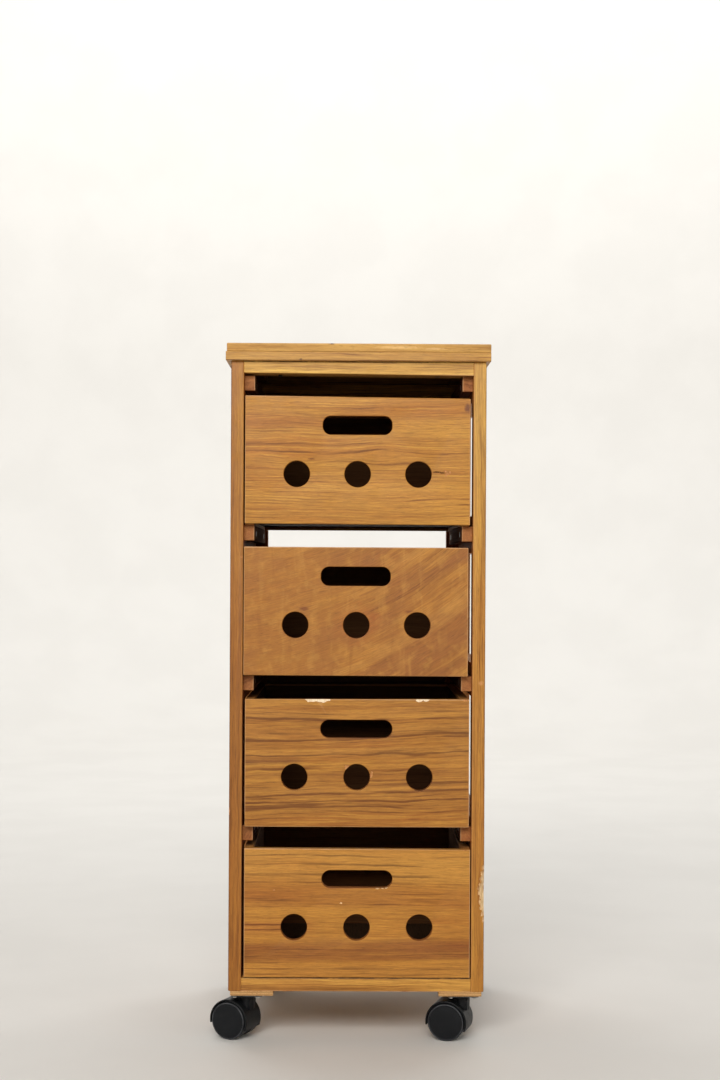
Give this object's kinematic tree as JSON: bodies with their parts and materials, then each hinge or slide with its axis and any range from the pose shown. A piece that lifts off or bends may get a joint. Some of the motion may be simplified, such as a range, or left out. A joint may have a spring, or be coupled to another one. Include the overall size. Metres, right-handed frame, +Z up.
{
  "type": "rolling drawer cabinet",
  "caption": "Narrow wooden tower of open-topped box drawers with hand slots and round holes, on runners in a ladder-sided frame, rolling on twin-wheel casters.",
  "frame": {"origin": "on the floor under the middle of the plan", "axes": "+Z up; the drawers open towards -Y; +X is the viewer's right from the front"},
  "size_m": [0.3849, 0.35, 0.927],
  "materials": {
    "lacquered_wood": "honey-brown lacquer, satin",
    "drawer_wood": "honey-brown lacquer, satin",
    "runner_wood": "plain hardwood, thin lacquer",
    "drawer_plywood": "thin plywood, thin lacquer",
    "pale_plywood": "bare plywood",
    "zinc_steel": "zinc-plated",
    "dark_steel": "dark passivated zinc",
    "black_plastic": "moulded, satin"
  },
  "bodies": {
    "cabinet": {"top_panel": "lacquered_wood", "top_edging": "lacquered_wood", "top_rails": "lacquered_wood", "bottom_panel": "lacquered_wood", "post_front_left": "lacquered_wood", "post_front_right": "lacquered_wood", "post_rear_left": "lacquered_wood", "post_rear_right": "lacquered_wood", "side_rails_left": "lacquered_wood", "side_rails_right": "lacquered_wood", "runners_left": "runner_wood", "runners_right": "runner_wood", "rear_stops": "runner_wood", "rear_cross_rails": "lacquered_wood", "runner_screws": "zinc_steel", "top_screws": "zinc_steel", "caster_pads": "pale_plywood", "caster_plates": "dark_steel", "caster_kingpins": "dark_steel", "caster_plate_screws": "zinc_steel"},
    "drawer_1": {"drawer_1_front": "drawer_wood", "drawer_1_back": "drawer_wood", "drawer_1_left_side": "drawer_wood", "drawer_1_right_side": "drawer_wood", "drawer_1_bottom": "drawer_plywood", "drawer_1_dowels": "runner_wood"},
    "drawer_2": {"drawer_2_front": "drawer_wood", "drawer_2_back": "drawer_wood", "drawer_2_left_side": "drawer_wood", "drawer_2_right_side": "drawer_wood", "drawer_2_bottom": "drawer_plywood", "drawer_2_dowels": "runner_wood"},
    "drawer_3": {"drawer_3_front": "drawer_wood", "drawer_3_back": "drawer_wood", "drawer_3_left_side": "drawer_wood", "drawer_3_right_side": "drawer_wood", "drawer_3_bottom": "drawer_plywood", "drawer_3_dowels": "runner_wood"},
    "drawer_4": {"drawer_4_front": "drawer_wood", "drawer_4_back": "drawer_wood", "drawer_4_left_side": "drawer_wood", "drawer_4_right_side": "drawer_wood", "drawer_4_bottom": "drawer_plywood", "drawer_4_dowels": "runner_wood"},
    "caster_front_left_fork": {"caster_front_left_hood": "black_plastic", "caster_front_left_axle": "zinc_steel"},
    "caster_front_left_roller_a": {"caster_front_left_wheel_a": "black_plastic"},
    "caster_front_left_roller_b": {"caster_front_left_wheel_b": "black_plastic"},
    "caster_front_right_fork": {"caster_front_right_hood": "black_plastic", "caster_front_right_axle": "zinc_steel"},
    "caster_front_right_roller_a": {"caster_front_right_wheel_a": "black_plastic"},
    "caster_front_right_roller_b": {"caster_front_right_wheel_b": "black_plastic"},
    "caster_rear_left_fork": {"caster_rear_left_hood": "black_plastic", "caster_rear_left_axle": "zinc_steel"},
    "caster_rear_left_roller_a": {"caster_rear_left_wheel_a": "black_plastic"},
    "caster_rear_left_roller_b": {"caster_rear_left_wheel_b": "black_plastic"},
    "caster_rear_right_fork": {"caster_rear_right_hood": "black_plastic", "caster_rear_right_axle": "zinc_steel"},
    "caster_rear_right_roller_a": {"caster_rear_right_wheel_a": "black_plastic"},
    "caster_rear_right_roller_b": {"caster_rear_right_wheel_b": "black_plastic"}
  },
  "joints": [
    {"name": "drawer_1_slide", "type": "slide", "parent": "cabinet", "child": "drawer_1", "axis": [0, -1, 0], "range_m": [0, 0.25]},
    {"name": "drawer_2_slide", "type": "slide", "parent": "cabinet", "child": "drawer_2", "axis": [0, -1, 0], "range_m": [0, 0.25]},
    {"name": "drawer_3_slide", "type": "slide", "parent": "cabinet", "child": "drawer_3", "axis": [0, -1, 0], "range_m": [0, 0.25]},
    {"name": "drawer_4_slide", "type": "slide", "parent": "cabinet", "child": "drawer_4", "axis": [0, -1, 0], "range_m": [0, 0.25]},
    {"name": "caster_front_left_swivel", "type": "hinge", "parent": "cabinet", "child": "caster_front_left_fork", "pos_m": [-0.14515, -0.144, 0.05], "axis": [0, 0, 1], "continuous": true},
    {"name": "caster_front_left_spin_a", "type": "hinge", "parent": "caster_front_left_fork", "child": "caster_front_left_roller_a", "pos_m": [-0.16133, -0.13611, 0.025], "axis": [-0.4384, -0.8988, 0], "continuous": true},
    {"name": "caster_front_left_spin_b", "type": "hinge", "parent": "caster_front_left_fork", "child": "caster_front_left_roller_b", "pos_m": [-0.16133, -0.13611, 0.025], "axis": [-0.4384, -0.8988, 0], "continuous": true},
    {"name": "caster_front_right_swivel", "type": "hinge", "parent": "cabinet", "child": "caster_front_right_fork", "pos_m": [0.14285, -0.144, 0.05], "axis": [0, 0, 1], "continuous": true},
    {"name": "caster_front_right_spin_a", "type": "hinge", "parent": "caster_front_right_fork", "child": "caster_front_right_roller_a", "pos_m": [0.12564, -0.13874, 0.025], "axis": [-0.2924, -0.9563, 0], "continuous": true},
    {"name": "caster_front_right_spin_b", "type": "hinge", "parent": "caster_front_right_fork", "child": "caster_front_right_roller_b", "pos_m": [0.12564, -0.13874, 0.025], "axis": [-0.2924, -0.9563, 0], "continuous": true},
    {"name": "caster_rear_left_swivel", "type": "hinge", "parent": "cabinet", "child": "caster_rear_left_fork", "pos_m": [-0.14515, 0.144, 0.05], "axis": [0, 0, 1], "continuous": true},
    {"name": "caster_rear_left_spin_a", "type": "hinge", "parent": "caster_rear_left_fork", "child": "caster_rear_left_roller_a", "pos_m": [-0.12794, 0.13874, 0.025], "axis": [0.2924, 0.9563, 0], "continuous": true},
    {"name": "caster_rear_left_spin_b", "type": "hinge", "parent": "caster_rear_left_fork", "child": "caster_rear_left_roller_b", "pos_m": [-0.12794, 0.13874, 0.025], "axis": [0.2924, 0.9563, 0], "continuous": true},
    {"name": "caster_rear_right_swivel", "type": "hinge", "parent": "cabinet", "child": "caster_rear_right_fork", "pos_m": [0.14285, 0.144, 0.05], "axis": [0, 0, 1], "continuous": true},
    {"name": "caster_rear_right_spin_a", "type": "hinge", "parent": "caster_rear_right_fork", "child": "caster_rear_right_roller_a", "pos_m": [0.16084, 0.14463, 0.025], "axis": [-0.0349, 0.9994, 0], "continuous": true},
    {"name": "caster_rear_right_spin_b", "type": "hinge", "parent": "caster_rear_right_fork", "child": "caster_rear_right_roller_b", "pos_m": [0.16084, 0.14463, 0.025], "axis": [-0.0349, 0.9994, 0], "continuous": true}
  ]
}
